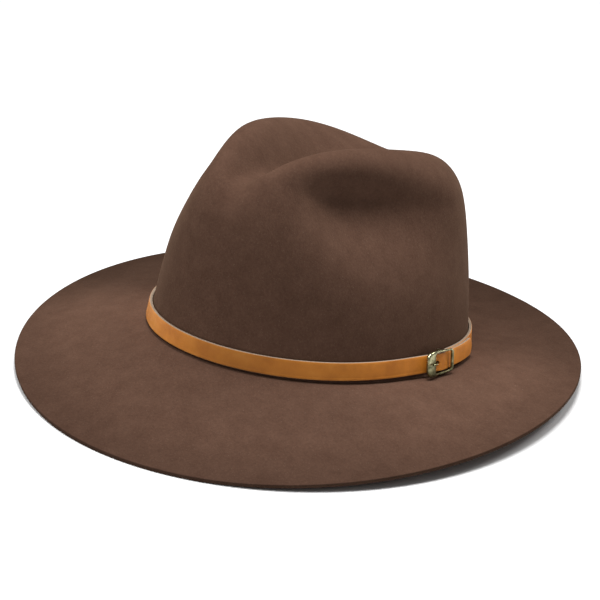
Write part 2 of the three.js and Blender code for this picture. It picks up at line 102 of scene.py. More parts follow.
def set_up_camera():
    """Puts the camera at the photo's angle and framing."""
    back = direction(VIEW_FROM_FRONT, VIEW_HEIGHT)
    level = Vector((math.cos(VIEW_FROM_FRONT), math.sin(VIEW_FROM_FRONT), 0))
    upright = back.cross(level)
    right = math.cos(VIEW_TILT) * level + math.sin(VIEW_TILT) * upright
    up = math.cos(VIEW_TILT) * upright - math.sin(VIEW_TILT) * level
    data = bpy.data.cameras.new("studio_camera")
    data.lens = LENS
    data.shift_x = CAMERA_SHIFT["right"]
    data.shift_y = CAMERA_SHIFT["up"]
    camera = bpy.data.objects.new("studio_camera", data)
    turn = Matrix((right, up, back)).transposed().to_4x4()
    camera.matrix_world = Matrix.Translation(FOOT_MIDDLE + VIEW_DISTANCE * back) @ turn
    bpy.context.scene.collection.objects.link(camera)
    bpy.context.scene.camera = camera


def set_up_table_and_light():
    """Lays the table top, hangs the lamps and lights the room."""
    half = TABLE_SIZE / 2
    corners = [(-half, -half, 0), (half, -half, 0), (half, half, 0), (-half, half, 0)]
    material, _, _ = new_material("pale_table_top", TABLE_COLOUR, 0.9)
    table = new_object("table_top", corners, [(0, 1, 2, 3)], material)
    for name, row in LAMPS.items():
        lamp = bpy.data.lights.new(name, "AREA")
        lamp.shape = "DISK"
        lamp.size = LAMP_SIZE
        lamp.energy = row["power"]
        towards = direction(math.radians(row["from_front"]), math.radians(row["height"]))
        holder = bpy.data.objects.new(name, lamp)
        turn = towards.to_track_quat("Z", "Y").to_matrix().to_4x4()
        holder.matrix_world = Matrix.Translation(LAMP_DISTANCE * towards) @ turn
        bpy.context.scene.collection.objects.link(holder)
    room = bpy.data.worlds.new("pale_room")
    room.use_nodes = True
    sky = room.node_tree.nodes["Background"]
    sky.inputs["Color"].default_value = ROOM_COLOUR
    sky.inputs["Strength"].default_value = ROOM_LIGHT
    bpy.context.scene.world = room
    bpy.context.scene.view_settings.view_transform = "Standard"


set_up_camera()
set_up_table_and_light()


# Felt crown and brim. One piece of fur felt, steamed and pulled over a block, its brim ironed
# down in front and cut raw at the edge. The crown is pressed by hand into a long dent on top and
# a dent at each side of the front, so that it pinches where the hat is picked up.
FELT_THICKNESS = 0.0022
HEAD_GIRTH = 0.600
HEAD_LONG_TO_WIDE = 1.18
CROWN_HEIGHT = 0.132
CROWN_WALL = {
    "front": {"taper": 0.012, "fullness": 3.7},
    "side": {"taper": 0.158, "fullness": 3.0},
    "back": {"taper": 0.051, "fullness": 3.7},
}
TOP_SLOPE = 0.25
CENTRE_DENT = {
    "front": {"y": -0.080, "depth": 0.018, "half_width": 0.0165},
    "middle": {"y": 0.0, "depth": 0.0355, "half_width": 0.0315},
    "back": {"y": 0.080, "depth": 0.018, "half_width": 0.035},
}
CENTRE_DENT_FADE = (0.059, 0.125)
SIDE_DENT = {"y": -0.046, "z": 0.0955, "fall": 0.15, "depth": 0.0195, "sag": 0.006}
SIDE_DENT_REACH = {"ahead": 0.030, "behind": 0.060, "above": 0.0135, "below": 0.028}
REAR_SWELL = {"y": 0.023, "z": 0.092, "out": 0.007, "reach": 0.040, "height_reach": 0.025}
SIDE_FROM_MIDDLE = 0.060
FRONT_PINCH = {
    "y": -0.095,
    "share": 0.075,
    "reach": 0.056,
    "forward": 0.013,
    "forward_reach": 0.040,
}
FRONT_PINCH_FADE = (0.020, 0.115)
BRIM = {
    "front": {"width": 0.0835, "root_slope": -27.0, "edge_slope": -24.5, "bow": -2.5},
    "side": {"width": 0.0695, "root_slope": 1.5, "edge_slope": -5.0, "bow": -7.5},
    "back": {"width": 0.067, "root_slope": -6.0, "edge_slope": 8.0, "bow": 5.5},
}
BRIM_STEPS = 12
FOOT_FILLET = 0.0008
CUT_EDGE_ROUND = 0.0006
CUT_EDGE_TURNS = [-60, -35, -15, 0, 15, 35, 60]
CUT_EDGE_SQUARENESS = 0.6
REST_PITCH = math.radians(7.1)
REST_SINK = 0.0007
REST_SOFTNESS = 0.0008
# Light and shade painted round the brim, as a tone by the angle in degrees from the front towards
# the wearer's left, and painted shade that darkens it towards the cut edge.
BRIM_PAINTED_LIGHT = [
    {"angle": -180, "tone": 0.6},
    {"angle": -90, "tone": 0.6},
    {"angle": -60, "tone": 1.25},
    {"angle": -25, "tone": 1.06},
    {"angle": 42, "tone": 1.04},
    {"angle": 68, "tone": 1.2},
    {"angle": 105, "tone": 1.22},
    {"angle": 135, "tone": 0.88},
    {"angle": 180, "tone": 0.6},
]
# Painted shade towards the brim's cut edge, and darker still on the cut edge itself.
BRIM_EDGE_PAINTED_SHADE = {"from_share": 0.5, "darker": 0.22, "cut": 0.5}
FELT_AROUND = 320
FELT_ROWS = {"brim": 40, "foot": 8, "crown": 84}
UNDER_ROWS = {"brim": 18, "foot": 4, "crown": 44}
OUTLINE_SHARES = (0.6, 0.7, 0.8, 0.9, 1.0)

GIRTH_FACTOR = 3 * (1 + HEAD_LONG_TO_WIDE) - math.sqrt(
    (3 * HEAD_LONG_TO_WIDE + 1) * (HEAD_LONG_TO_WIDE + 3)
)
HALF_WIDE = HEAD_GIRTH / (math.pi * GIRTH_FACTOR)
HALF_LONG = HALF_WIDE * HEAD_LONG_TO_WIDE


def smoothstep(value, low, high):
    """A smooth rise from 0 at low to 1 at high."""
    t = np.clip((value - low) / (high - low), 0, 1)
    return t * t * (3 - 2 * t)


def bell(distance, reach):
    """1 at no distance, fading out over the reach."""
    return np.exp(-((distance / reach) ** 2))


def round_the_hat(angle, rows, column):
    """A value between the hat's front, side and back rows, at an angle from the front."""
    c = np.cos(angle)
    front, side, back = (rows[row][column] for row in ("front", "side", "back"))
    return side + (front - back) / 2 * c + ((front + back) / 2 - side) * c * c


def along_the_top(y, column):
    """A value of the centre dent between its front, middle and back rows."""
    v = y / CENTRE_DENT["back"]["y"]
    front, middle, back = (CENTRE_DENT[row][column] for row in ("front", "middle", "back"))
    return middle + (back - front) / 2 * v + ((back + front) / 2 - middle) * v * v


def foot_point(angle):
    """The oval where the crown meets the brim."""
    flat = np.zeros_like(angle)
    return np.stack([HALF_WIDE * np.sin(angle), -HALF_LONG * np.cos(angle), flat], axis=-1)


def crown_point(angle, across, up):
    """Outside of the crown: across is 1 at the wall and 0 in the middle, up runs from 0 to 1."""
    rise = CROWN_HEIGHT * up
    to_front = 0.5 + 0.5 * np.cos(angle)
    taper = CROWN_WALL["front"]["taper"] * to_front + CROWN_WALL["back"]["taper"] * (1 - to_front)
    x = (HALF_WIDE - CROWN_WALL["side"]["taper"] * rise) * across * np.sin(angle)
    y = -(HALF_LONG - taper * rise) * across * np.cos(angle)
    z = rise * (1 - TOP_SLOPE * y)

    on_top = smoothstep(z, *CENTRE_DENT_FADE)
    z = z - along_the_top(y, "depth") * bell(x, along_the_top(y, "half_width")) * on_top

    reach = SIDE_DENT_REACH
    dy = y - SIDE_DENT["y"]
    dz = z - SIDE_DENT["z"] + SIDE_DENT["fall"] * dy
    dent = bell(dy, np.where(dy < 0, reach["ahead"], reach["behind"]))
    dent = dent * bell(dz, np.where(dz > 0, reach["above"], reach["below"]))
    side = np.sign(x) * smoothstep(np.abs(x), 0, SIDE_FROM_MIDDLE)
    x = x - side * SIDE_DENT["depth"] * dent
    z = z - SIDE_DENT["sag"] * dent
    swell = bell(y - REAR_SWELL["y"], REAR_SWELL["reach"])
    swell = swell * bell(z - REAR_SWELL["z"], REAR_SWELL["height_reach"])
    x = x + side * REAR_SWELL["out"] * swell

    high = smoothstep(z, *FRONT_PINCH_FADE)
    from_front = y - FRONT_PINCH["y"]
    x = x * (1 - FRONT_PINCH["share"] * high * bell(from_front, FRONT_PINCH["reach"]))
    y = y - FRONT_PINCH["forward"] * high * bell(from_front, FRONT_PINCH["forward_reach"])
    return np.stack([x, y, z], axis=-1)


def wall_point(angle, height):
    """Outside of the crown, by its height on the wall alone."""
    up = height / CROWN_HEIGHT
    fullness = round_the_hat(angle, CROWN_WALL, "fullness")
    return crown_point(angle, (1 - up**fullness) ** (1 / fullness), up)


def brim_point(angle, share):
    """Top of the brim, by the share of its width from the crown out to the edge."""
    width = round_the_hat(angle, BRIM, "width")
    root = round_the_hat(angle, BRIM, "root_slope")
    edge = round_the_hat(angle, BRIM, "edge_slope")
    bow = round_the_hat(angle, BRIM, "bow")
    out = 0
    rise = 0
    for i in range(BRIM_STEPS):
        u = share * (i + 0.5) / BRIM_STEPS
        slope = np.radians(root + (edge - root) * u + bow * 4 * u * (1 - u))
        out = out + np.cos(slope) * share * width / BRIM_STEPS
        rise = rise + np.sin(slope) * share * width / BRIM_STEPS
    x = HALF_LONG * np.sin(angle)
    y = -HALF_WIDE * np.cos(angle)
    size = np.hypot(x, y)
    return foot_point(angle) + np.stack([x / size * out, y / size * out, rise], axis=-1)


def felt_point(angle, place):
    """Upper side of the felt: place 0 is the edge, 1 the foot's start, 2 its end and 3 the top."""
    root_share = FOOT_FILLET / round_the_hat(angle, BRIM, "width")
    if place <= 1:
        return brim_point(angle, 1 + (root_share - 1) * place)
    if place < 2:
        t = place - 1
        brim = brim_point(angle, root_share)
        wall = wall_point(angle, FOOT_FILLET)
        return brim * (1 - t) ** 2 + foot_point(angle) * 2 * t * (1 - t) + wall * t**2
    fullness = round_the_hat(angle, CROWN_WALL, "fullness")
    start = math.atan(FOOT_FILLET / CROWN_HEIGHT)
    turn = start + (math.pi / 2 - start) * (place - 2)
    c = max(math.cos(turn), 0)
    s = math.sin(turn)
    size = (c**fullness + s**fullness) ** (-1 / fullness)
    return crown_point(angle, c * size, s * size)


def leaned_back(points):
    """Turns points as the hat leans back on its brim."""
    c, s = math.cos(REST_PITCH), math.sin(REST_PITCH)
    x, y, z = np.moveaxis(points, -1, 0)
    return np.stack([x, y * c + z * s, z * c - y * s], axis=-1)


ALL_ROUND = np.radians(np.arange(0, 360, 2.0))
OUTLINE = np.concatenate([leaned_back(brim_point(ALL_ROUND, share)) for share in OUTLINE_SHARES])
MIDDLE_Y = (OUTLINE[:, 1].min() + OUTLINE[:, 1].max()) / 2
LOWEST = OUTLINE[:, 2].min() - FELT_THICKNESS + REST_SINK


def on_the_table(points):
    """From the crown's own frame to its place on the table."""
    return leaned_back(points) - np.array([0, MIDDLE_Y, LOWEST])


def pressed_flat(points):
    """The felt gives way where it would sink below the table."""
    x, y, z = np.moveaxis(points, -1, 0)
    over = z - FELT_THICKNESS
    eased = np.where(over <= -REST_SOFTNESS, 0, (over + REST_SOFTNESS) ** 2 / (4 * REST_SOFTNESS))
    return np.stack([x, y, np.where(over < REST_SOFTNESS, FELT_THICKNESS + eased, z)], axis=-1)


def felt_side(angle, places):
    """Rows of points over the felt's upper side, and the direction straight out of it at each."""
    step = 0.004

    def at(turned, place):
        return pressed_flat(on_the_table(felt_point(turned, place)))

    points = []
    normals = []
    for place in places:
        held = min(place, 3 - step)
        before = max(held - step, 0)
        rise = at(angle, held + step) - at(angle, before)
        along = at(angle + step, held) - at(angle - step, held)
        normal = np.cross(along, rise)
        points.append(at(angle, place))
        normals.append(normal / np.linalg.norm(normal, axis=-1, keepdims=True))
    return np.array(points), np.array(normals)


def felt_places(rows, first):
    """The rows' places from the brim's edge to just before the middle of the crown."""
    brim = np.linspace(first, 1, rows["brim"], endpoint=False)
    foot = np.linspace(1, 2, rows["foot"], endpoint=False)
    crown = np.linspace(2, 3, rows["crown"], endpoint=False)
    return np.concatenate([brim, foot, crown])


def net_faces(rows, around):
    """Four-sided faces between rows of points that each go all the way round."""
    here = np.arange(around)
    after = np.roll(here, -1)
    faces = []
    for row in range(rows - 1):
        low = row * around
        high = low + around
        faces += np.stack([low + here, low + after, high + after, high + here], axis=1).tolist()
    return faces


def fan_faces(ring, around, middle):
    """Three-sided faces from one ring of points to the point in its middle."""
    here = np.arange(around)
    after = np.roll(here, -1)
    return np.stack([ring + here, ring + after, np.full(around, middle)], axis=1).tolist()


def tone_round_the_hat(angle, rows):
    """A tone from a table of angles round the hat."""
    degrees = (np.degrees(angle) + 180) % 360 - 180
    tone = rows[0]["tone"]
    for row, following in zip(rows, rows[1:]):
        share = smoothstep(degrees, row["angle"], following["angle"])
        tone = tone + (following["tone"] - row["tone"]) * share
    return tone


def painted_light_tone(angle, place):
    """The light and shade painted at a place on the felt's upper side."""
    tone = tone_round_the_hat(angle, BRIM_PAINTED_LIGHT)
    to_edge = smoothstep(1 - place, BRIM_EDGE_PAINTED_SHADE["from_share"], 1)
    on_brim = smoothstep(2 - place, 0, 1)
    return 1 + (tone * (1 - BRIM_EDGE_PAINTED_SHADE["darker"] * to_edge) - 1) * on_brim


def make_felt():
    """The hollow felt, its two sides and cut edge, and the light and shade painted at each point.
    """
    angle = 2 * math.pi * np.arange(FELT_AROUND) / FELT_AROUND
    first = CUT_EDGE_ROUND / BRIM["side"]["width"]
    places = felt_places(FELT_ROWS, first)
    upper, upper_out = felt_side(angle, places)
    under_rows, under_out = felt_side(angle, felt_places(UNDER_ROWS, first))
    under = under_rows - FELT_THICKNESS * under_out

    edge_middle = upper[0] - FELT_THICKNESS / 2 * upper_out[0]
    outward = upper[0] - upper[1]
    outward /= np.linalg.norm(outward, axis=-1, keepdims=True)
    edge = []
    for turn in np.radians(CUT_EDGE_TURNS):
        out = CUT_EDGE_ROUND * math.cos(turn) ** CUT_EDGE_SQUARENESS
        rise = math.copysign(abs(math.sin(turn)) ** CUT_EDGE_SQUARENESS, turn) * FELT_THICKNESS / 2
        edge.append(edge_middle + out * outward + rise * upper_out[0])

    rings = np.concatenate([under[::-1], np.array(edge), upper])
    rings[..., 2] = np.maximum(rings[..., 2], 0)
    middle = pressed_flat(on_the_table(felt_point(np.array([0.0]), 3.0)))[0]
    poles = np.array([middle - [0, 0, FELT_THICKNESS], middle])
    points = np.concatenate([rings.reshape(-1, 3), poles])
    count = len(rings)
    faces = net_faces(count, FELT_AROUND)
    faces += fan_faces((count - 1) * FELT_AROUND, FELT_AROUND, len(points) - 1)
    faces += [face[::-1] for face in fan_faces(0, FELT_AROUND, len(points) - 2)]
    # The underside keeps the felt's own colour; the cut edge and the upper side carry painted light
    # and shade.
    painted_tones = [np.ones(FELT_AROUND)] * len(under)
    painted_tones += [np.full(FELT_AROUND, BRIM_EDGE_PAINTED_SHADE["cut"])] * len(edge)
    painted_tones += [painted_light_tone(angle, place) for place in places]
    return points, faces, np.append(np.array(painted_tones).ravel(), [1.0, 1.0])


def set_value(piece, name, values):
    """Keeps a number for each point of a mesh, for its material to read."""
    attribute = piece.data.attributes.new(name, "FLOAT", "POINT")
    attribute.data.foreach_set("value", np.asarray(values, dtype=np.float32))


def wire(tree, start, end):
    """Joins two sockets."""
    tree.links.new(start, end)


def add_node(tree, kind, **values):
    """A new node with its input sockets set by name."""
    node = tree.nodes.new(kind)
    for name, value in values.items():
        node.inputs[name.replace("_", " ")].default_value = value
    return node


def colour_ramp(tree, stops):
    """A ramp node from its stops: position and colour."""
    node = tree.nodes.new("ShaderNodeValToRGB")
    ramp = node.color_ramp
    while len(ramp.elements) < len(stops):
        ramp.elements.new(0.5)
    for element, (position, colour) in zip(ramp.elements, stops):
        element.position = position
        element.color = (*colour, 1.0)
    return node


def multiplied(tree, first, second):
    """The product of two colours or numbers."""
    node = tree.nodes.new("ShaderNodeMix")
    node.data_type = "RGBA"
    node.blend_type = "MULTIPLY"
    node.inputs["Factor"].default_value = 1.0
    wire(tree, first, node.inputs["A"])
    wire(tree, second, node.inputs["B"])
    return node.outputs["Result"]


def felt_material():
    """Brushed fur felt: warm brown, faintly mottled, with a fine speckle of paler hairs."""
    material, tree, shader = new_material("brown_fur_felt", (0.08, 0.042, 0.028, 1), 0.9)
    shader.inputs["Specular IOR Level"].default_value = 0.02
    shader.inputs["Sheen Weight"].default_value = 0.06
    shader.inputs["Sheen Roughness"].default_value = 0.45
    shader.inputs["Sheen Tint"].default_value = (1.0, 0.64, 0.38, 1)
    place = add_node(tree, "ShaderNodeTexCoord").outputs["Object"]
    felt_light_node = tree.nodes.new("ShaderNodeAttribute")
    felt_light_node.attribute_name = "painted_light_tone"
    mottle = add_node(tree, "ShaderNodeTexNoise", Scale=90.0, Detail=5.0, Roughness=0.65)
    nap = add_node(tree, "ShaderNodeTexNoise", Scale=760.0, Detail=4.0, Roughness=0.7)
    hairs = add_node(tree, "ShaderNodeTexNoise", Scale=1700.0, Detail=2.0, Roughness=0.5)
    for texture in (mottle, nap, hairs):
        wire(tree, place, texture.inputs["Vector"])
    body = colour_ramp(tree, [(0.3, (0.072, 0.0385, 0.0262)), (0.7, (0.091, 0.050, 0.0343))])
    wire(tree, mottle.outputs["Fac"], body.inputs["Fac"])
    grain = colour_ramp(tree, [(0.32, (0.86, 0.85, 0.85)), (0.72, (1.17, 1.15, 1.14))])
    wire(tree, nap.outputs["Fac"], grain.inputs["Fac"])
    napped = multiplied(tree, body.outputs["Color"], grain.outputs["Color"])
    speckle = colour_ramp(tree, [(0.64, (0.0, 0.0, 0.0)), (0.78, (1.0, 1.0, 1.0))])
    wire(tree, hairs.outputs["Fac"], speckle.inputs["Fac"])
    spotted = tree.nodes.new("ShaderNodeMix")
    spotted.data_type = "RGBA"
    wire(tree, speckle.outputs["Color"], spotted.inputs["Factor"])
    wire(tree, napped, spotted.inputs["A"])
    spotted.inputs["B"].default_value = (0.14, 0.09, 0.065, 1.0)
    # The felt's colour is multiplied by the painted light and shade kept on the mesh.
    toned = multiplied(tree, spotted.outputs["Result"], felt_light_node.outputs["Fac"])
    wire(tree, toned, shader.inputs["Base Color"])
    dull = add_node(tree, "ShaderNodeMapRange", To_Min=0.8, To_Max=0.98)
    wire(tree, nap.outputs["Fac"], dull.inputs["Value"])
    wire(tree, dull.outputs["Result"], shader.inputs["Roughness"])
    bump = add_node(tree, "ShaderNodeBump", Strength=0.4, Distance=0.0004)
    wire(tree, nap.outputs["Fac"], bump.inputs["Height"])
    wire(tree, bump.outputs["Normal"], shader.inputs["Normal"])
    return material


felt_points, felt_faces, felt_painted_light = make_felt()
felt = new_object("felt_hat_body", felt_points, felt_faces, felt_material())
set_value(felt, "painted_light_tone", felt_painted_light)
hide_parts("felt_crown_and_brim")
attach(felt, "root")


# Leather strap. One narrow band of tan leather with raw cut edges. Its skived end folds round the
# buckle's bar and is glued back on itself; the band goes once round the crown, passes over the
# fold and under the buckle's frame, and its rounded tail lies over its own start.
STRAP_HEIGHT = 0.010
STRAP_THICKNESS = 0.0018
STRAP_LIFT = {"at_buckle": 0.0022, "elsewhere": 0.0009, "reach": 0.6}
STRAP_GAP = 0.0004
TAIL_LENGTH = 0.048
TAIL_END_LENGTH = 0.005
FOLD_THICKNESS = 0.0007
FOLD_FLAP = 0.005
RAMP_BEFORE_BAR = 0.027
LEVEL_BEFORE_BAR = 0.002
LEVEL_AFTER_BAR = 0.0015
RAMP_AFTER_BAR = 0.012
STRAP_CORNER = 0.0004
STRAP_STEP = 0.0022
STRAP_ROWS = {"fold": 15, "start": 9, "rise": 13, "fall": 8}
TAIL_END_TURNS = [12, 24, 36, 47, 57, 66, 74, 81, 86]
# How raw the leather is round a corner of the strap, from its smooth outside to its cut edge.
CORNER_RAWNESS = [(0, 0.0), (30, 0.3), (60, 0.8), (90, 1.0)]
CREASE = {"share": -0.72, "half_width": 0.0004, "depth": 0.00003}
CREASE_ROWS = [(-1, 0), (-0.5, 0.7), (0, 1), (0.5, 0.7), (1, 0)]
# Painted light and shade along the strap, as a tone by the angle in degrees from the front.
STRAP_PAINTED_LIGHT = [
    {"angle": -180, "tone": 0.95},
    {"angle": -30, "tone": 1.18},
    {"angle": 14, "tone": 0.68},
    {"angle": 44, "tone": 0.92},
    {"angle": 66, "tone": 1.2},
    {"angle": 84, "tone": 1.4},
    {"angle": 112, "tone": 1.4},
    {"angle": 140, "tone": 1.1},
    {"angle": 180, "tone": 0.95},
]
BUCKLE_ANGLE = math.radians(85.4)
BAR = {"x": 0.003, "radius": 0.00055, "clearance": 0.00032}
BAR_OUT = STRAP_GAP + FOLD_THICKNESS + BAR["clearance"] + BAR["radius"]


def unit(vectors):
    """The same directions, one long."""
    return vectors / np.linalg.norm(vectors, axis=-1, keepdims=True)


def strap_middle(angle):
    """Height of the strap's middle on the wall: close over the brim, and lifted at the buckle."""
    from_buckle = np.arccos(np.cos(angle - BUCKLE_ANGLE))
    lift = STRAP_LIFT["at_buckle"] - STRAP_LIFT["elsewhere"]
    lift = STRAP_LIFT["elsewhere"] + lift * bell(from_buckle, STRAP_LIFT["reach"])
    return lift + STRAP_HEIGHT / 2


def strap_point(angle):
    """Middle line of the strap on the crown's wall."""
    return wall_point(angle, strap_middle(angle))


def wall_frame(angle):
    """Middle of the strap on the crown's wall, and the directions up the wall and out of it."""
    step = 0.01
    rise = 0.001
    middle = strap_middle(angle)
    up = wall_point(angle, middle + rise) - wall_point(angle, middle - rise)
    chord = strap_point(angle + step) - strap_point(angle - step)
    return strap_point(angle), unit(up), unit(np.cross(chord, up))


LAP_ANGLES = np.linspace(0, 2 * math.pi, 721)
LAP_POINTS = strap_point(BUCKLE_ANGLE + LAP_ANGLES)
LAP_STEPS = np.linalg.norm(np.diff(LAP_POINTS, axis=0), axis=-1)
LAP_LENGTHS = np.concatenate([[0.0], np.cumsum(LAP_STEPS)])
LAP = LAP_LENGTHS[-1]


def angle_at_length(length):
    """The angle round the hat, at a length along the strap from the buckle towards the back."""
    laps = np.floor(length / LAP)
    rest = np.interp(length - laps * LAP, LAP_LENGTHS, LAP_ANGLES)
    return BUCKLE_ANGLE + 2 * math.pi * laps + rest


def strap_line():
    """Middle of the strap from end to end: length round, distance out, thickness and height."""
    fold_radius = BAR["radius"] + BAR["clearance"] + FOLD_THICKNESS / 2
    flap_out = STRAP_GAP + FOLD_THICKNESS / 2
    bar_out = flap_out + fold_radius
    single_out = STRAP_GAP + STRAP_THICKNESS / 2
    over_fold = bar_out + fold_radius + (FOLD_THICKNESS + STRAP_THICKNESS) / 2 + STRAP_GAP
    over_start = single_out + STRAP_THICKNESS + STRAP_GAP
    line = []

    def add(length, out, thickness, height=STRAP_HEIGHT):
        line.append((length, out, thickness, height))

    for share in (1, 0.75, 0.5, 0.25):
        add(BAR["x"] + FOLD_FLAP * share, flap_out, FOLD_THICKNESS)
    for turn in np.linspace(0.5, 1.5, STRAP_ROWS["fold"]) * math.pi:
        along = BAR["x"] + fold_radius * math.cos(turn)
        add(along, bar_out - fold_radius * math.sin(turn), FOLD_THICKNESS)
    for share in np.linspace(0, 1, STRAP_ROWS["start"])[1:]:
        out = bar_out + fold_radius + (single_out - bar_out - fold_radius) * smoothstep(share, 0, 1)
        thickness = FOLD_THICKNESS + (STRAP_THICKNESS - FOLD_THICKNESS) * share
        add(BAR["x"] + RAMP_AFTER_BAR * share, out, thickness)
    start = BAR["x"] + RAMP_AFTER_BAR
    over = LAP + BAR["x"]
    ramp = over - RAMP_BEFORE_BAR
    for length in np.linspace(start, ramp, round((ramp - start) / STRAP_STEP))[1:]:
        add(length, single_out, STRAP_THICKNESS)
    for share in np.linspace(0, 1, STRAP_ROWS["rise"])[1:]:
        length = ramp + (RAMP_BEFORE_BAR - LEVEL_BEFORE_BAR) * share
        add(length, single_out + (over_fold - single_out) * share**2, STRAP_THICKNESS)
    for share in np.linspace(0, 1, STRAP_ROWS["fall"]):
        length = over + LEVEL_AFTER_BAR + RAMP_AFTER_BAR * share
        add(length, over_fold + (over_start - over_fold) * smoothstep(share, 0, 1), STRAP_THICKNESS)
    flat = over + LEVEL_AFTER_BAR + RAMP_AFTER_BAR
    rounded = LAP + TAIL_LENGTH - TAIL_END_LENGTH
    for length in np.linspace(flat, rounded, round((rounded - flat) / STRAP_STEP))[1:]:
        add(length, over_start, STRAP_THICKNESS)
    for turn in np.radians(TAIL_END_TURNS):
        length = rounded + TAIL_END_LENGTH * math.sin(turn)
        add(length, over_start, STRAP_THICKNESS, STRAP_HEIGHT * math.cos(turn))
    return np.array(line)


def strap_section(thickness, height):
    """Round the strap's section: how far out, how far up, and how raw the leather is there."""
    r = min(STRAP_CORNER, 0.4 * thickness, 0.4 * height)
    half = thickness / 2 - r
    tall = height / 2 - r
    section = []
    for turn, (across, up) in enumerate([(1, 1), (-1, 1), (-1, -1), (1, -1)]):
        for part, raw in CORNER_RAWNESS:
            bend = math.radians(90 * turn + part)
            raw = raw if turn == 0 else 1 - raw if turn == 3 else 1.0
            out = across * half + r * math.cos(bend)
            section.append((out, up * tall + r * math.sin(bend), raw))
        if turn in (0, 2):
            section.append((0.0, up * height / 2, 1.0))
        elif turn == 1:
            section += [(-thickness / 2, share * tall, 1.0) for share in (0.6, 0.2, -0.2, -0.6)]
        else:
            wide = CREASE["half_width"] / tall
            for offset, deep in CREASE_ROWS:
                out = thickness / 2 - CREASE["depth"] * deep * height / STRAP_HEIGHT
                section.append((out, (CREASE["share"] + wide * offset) * tall, 0.0))
            section += [(thickness / 2, share * tall, 0.0) for share in (-0.3, 0.0, 0.3, 0.65)]
    return section


def tube_faces(rows, around):
    """Faces of a tube between its rows of points, and one flat face at each end."""
    last = (rows - 1) * around
    ends = [list(range(around))[::-1], list(range(last, last + around))]
    return net_faces(rows, around) + ends


def make_strap():
    """The strap's points, faces, rawness and painted light and shade, from one end to the other."""
    line = strap_line()
    sections = np.array([strap_section(thickness, height) for _, _, thickness, height in line])
    ends = [0, *range(len(line)), len(line) - 1]
    run = line[ends[2:], 0] - line[ends[:-2], 0]
    rise = line[ends[2:], 1] - line[ends[:-2], 1]
    size = np.hypot(run, rise)
    across = sections[..., 0]
    angle = angle_at_length(line[:, :1] - across * (rise / size)[:, None])
    middle, up, out = wall_frame(angle)
    distance = line[:, 1:2] + across * (run / size)[:, None]
    points = on_the_table(middle + out * distance[..., None] + up * sections[..., 1:2])
    # Painted light and shade along the strap, by the angle round the hat.
    painted_tones = tone_round_the_hat(angle, STRAP_PAINTED_LIGHT)
    faces = tube_faces(*across.shape)
    return points.reshape(-1, 3), faces, sections[..., 2].reshape(-1), painted_tones.reshape(-1)


def leather_material():
    """Smooth tan leather with fine pores, paler and rougher where the edge is raw."""
    material, tree, shader = new_material("tan_strap_leather", (0.45, 0.19, 0.055, 1), 0.5)
    shader.inputs["Specular IOR Level"].default_value = 0.22
    place = add_node(tree, "ShaderNodeTexCoord").outputs["Object"]
    raw = tree.nodes.new("ShaderNodeAttribute")
    raw.attribute_name = "raw_edge"
    strap_light_node = tree.nodes.new("ShaderNodeAttribute")
    strap_light_node.attribute_name = "strap_light_tone"
    patches = add_node(tree, "ShaderNodeTexNoise", Scale=70.0, Detail=4.0, Roughness=0.55)
    pores = add_node(tree, "ShaderNodeTexNoise", Scale=1600.0, Detail=3.0, Roughness=0.6)
    for texture in (patches, pores):
        wire(tree, place, texture.inputs["Vector"])
    grain = colour_ramp(
        tree,
        [
            (0.3, (0.44, 0.145, 0.017)),
            (0.55, (0.55, 0.196, 0.024)),
            (0.75, (0.62, 0.242, 0.037)),
        ],
    )
    wire(tree, patches.outputs["Fac"], grain.inputs["Fac"])
    fibres = colour_ramp(tree, [(0.35, (0.19, 0.14, 0.10)), (0.65, (0.37, 0.28, 0.205))])
    wire(tree, pores.outputs["Fac"], fibres.inputs["Fac"])
    mix = tree.nodes.new("ShaderNodeMix")
    mix.data_type = "RGBA"
    wire(tree, raw.outputs["Fac"], mix.inputs["Factor"])
    # The leather's colour is multiplied by the painted light and shade; the raw edge keeps its own
    # colour.
    wire(tree, multiplied(tree, grain.outputs["Color"], strap_light_node.outputs["Fac"]), mix.inputs["A"])
    wire(tree, fibres.outputs["Color"], mix.inputs["B"])
    wire(tree, mix.outputs["Result"], shader.inputs["Base Color"])
    gloss = add_node(tree, "ShaderNodeMapRange", To_Min=0.48, To_Max=0.9)
    wire(tree, raw.outputs["Fac"], gloss.inputs["Value"])
    wire(tree, gloss.outputs["Result"], shader.inputs["Roughness"])
    bump = add_node(tree, "ShaderNodeBump", Strength=0.35, Distance=0.0002)
    wire(tree, pores.outputs["Fac"], bump.inputs["Height"])
    wire(tree, bump.outputs["Normal"], shader.inputs["Normal"])
    return material


strap_points, strap_faces, strap_raw, strap_painted_tones = make_strap()
strap = new_object("tan_leather_strap", strap_points, strap_faces, leather_material())
set_value(strap, "raw_edge", strap_raw)
set_value(strap, "strap_light_tone", strap_painted_tones)
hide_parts("leather_strap")
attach(strap, "root")


# Buckle frame. A small cast frame in antique brass, broad and domed on the side towards the front
# and thin on the other three, with a bar across its back held on two short lugs. The strap's fold
# holds it on by the bar.
FRAME = {
    "length": 0.0245,
    "height_at_front": 0.0152,
    "height_at_back": 0.0124,
    "thickness": 0.0016,
    "front_thickness": 0.0026,
    "front_side": 0.0072,
    "back_side": 0.0017,
    "front_corner_along": 0.0065,
    "front_corner_up": 0.0046,
    "back_corner": 0.0026,
    "opening_at_front": 0.0118,
    "opening_at_back": 0.0106,
    "opening_corner": 0.0018,
    "lift": 0.0051,
    "tilt": 0.04,
}
LUG = {
    "length": 0.002,
    "inner": 0.0057,
    "outer": 0.0067,
    "below_bar": 0.0002,
    "into_frame": 0.0004,
}
BAR_IN_LUG = 0.0002
CAST_SQUARENESS = 0.62
LUG_SQUARENESS = 0.35
PRONG_REST = {"depth": 0.0003, "half_width": 0.0008}
CORNER_POINTS = 11
SIDE_POINTS = 14
RING_AROUND = 24
BAR_AROUND = 16
